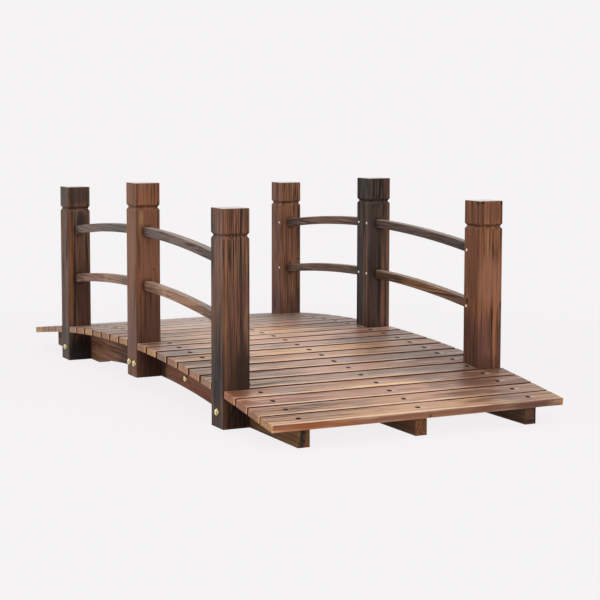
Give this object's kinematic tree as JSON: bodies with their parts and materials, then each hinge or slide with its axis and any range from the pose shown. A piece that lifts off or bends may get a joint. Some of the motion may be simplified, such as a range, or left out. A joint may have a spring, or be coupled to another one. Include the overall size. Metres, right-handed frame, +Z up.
{
  "type": "low arched garden footbridge",
  "caption": "Low arched garden footbridge of dark stained wood with planked deck, square grooved posts and curved rails on both sides.",
  "frame": {"origin": "on the ground under the crown, at the middle of the bridge's length and width", "axes": "+X along the span, +Y across the deck, +Z up"},
  "size_m": [1.524, 0.6732, 0.4826],
  "materials": {
    "post_wood": "carbonized fir, burnt dark brown with reddish streaks, satin",
    "rail_wood": "carbonized fir, grey brown, satin",
    "beam_wood": "carbonized fir, dark brown, satin",
    "deck_wood": "lightly burnt fir with pinkish and greyish brown grain, matte",
    "brass_fixings": "yellow zinc and brass coloured bolt and screw heads, polished",
    "steel_fixings": "black screws sunk in the deck, satin"
  },
  "bodies": {
    "root": {"post_near_left": "post_wood", "post_near_right": "post_wood", "post_mid_left": "post_wood", "post_mid_right": "post_wood", "post_far_left": "post_wood", "post_far_right": "post_wood", "upper_rail_near_left": "rail_wood", "upper_rail_near_right": "rail_wood", "upper_rail_far_left": "rail_wood", "upper_rail_far_right": "rail_wood", "lower_rail_near_left": "rail_wood", "lower_rail_near_right": "rail_wood", "lower_rail_far_left": "rail_wood", "lower_rail_far_right": "rail_wood", "beam_left_near": "beam_wood", "beam_left_far": "beam_wood", "beam_center_near": "beam_wood", "beam_center_far": "beam_wood", "beam_right_near": "beam_wood", "beam_right_far": "beam_wood", "splice_boards": "beam_wood", "plank_01": "deck_wood", "plank_02": "deck_wood", "plank_03": "deck_wood", "plank_04": "deck_wood", "plank_05": "deck_wood", "plank_06": "deck_wood", "plank_07": "deck_wood", "plank_08": "deck_wood", "plank_09": "deck_wood", "plank_10": "deck_wood", "plank_11": "deck_wood", "plank_12": "deck_wood", "plank_13": "deck_wood", "plank_14": "deck_wood", "plank_15": "deck_wood", "plank_16": "deck_wood", "plank_17": "deck_wood", "plank_18": "deck_wood", "plank_19": "deck_wood", "plank_20": "deck_wood", "plank_21": "deck_wood", "plank_22": "deck_wood", "plank_23": "deck_wood", "plank_24": "deck_wood", "plank_25": "deck_wood"}
  },
  "joints": []
}
